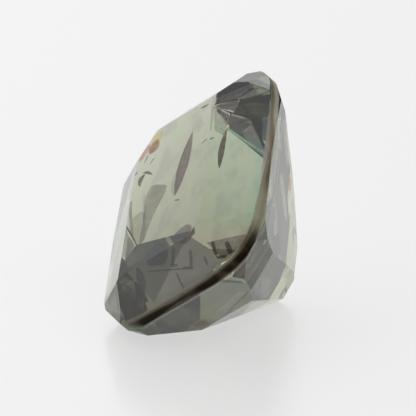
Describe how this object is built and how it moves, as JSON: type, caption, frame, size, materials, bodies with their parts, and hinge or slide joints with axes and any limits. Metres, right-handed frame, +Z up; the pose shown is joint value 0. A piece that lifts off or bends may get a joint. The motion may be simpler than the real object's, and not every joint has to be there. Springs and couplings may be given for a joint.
{
  "type": "cut alexandrite",
  "caption": "Faceted cushion-cut alexandrite, a clear green-grey stone lying on a flat facet of its pavilion.",
  "frame": {"origin": "on the surface the stone rests on, under the middle of its bounding box", "axes": "+Z up from the facet that it rests on, -Y towards the side that the picture shows"},
  "size_m": [0.0052, 0.008, 0.006],
  "materials": {
    "alexandrite": "polished, clear green-grey, IOR 1.75"
  },
  "bodies": {
    "root": {"cut_stone": "alexandrite"}
  },
  "joints": []
}
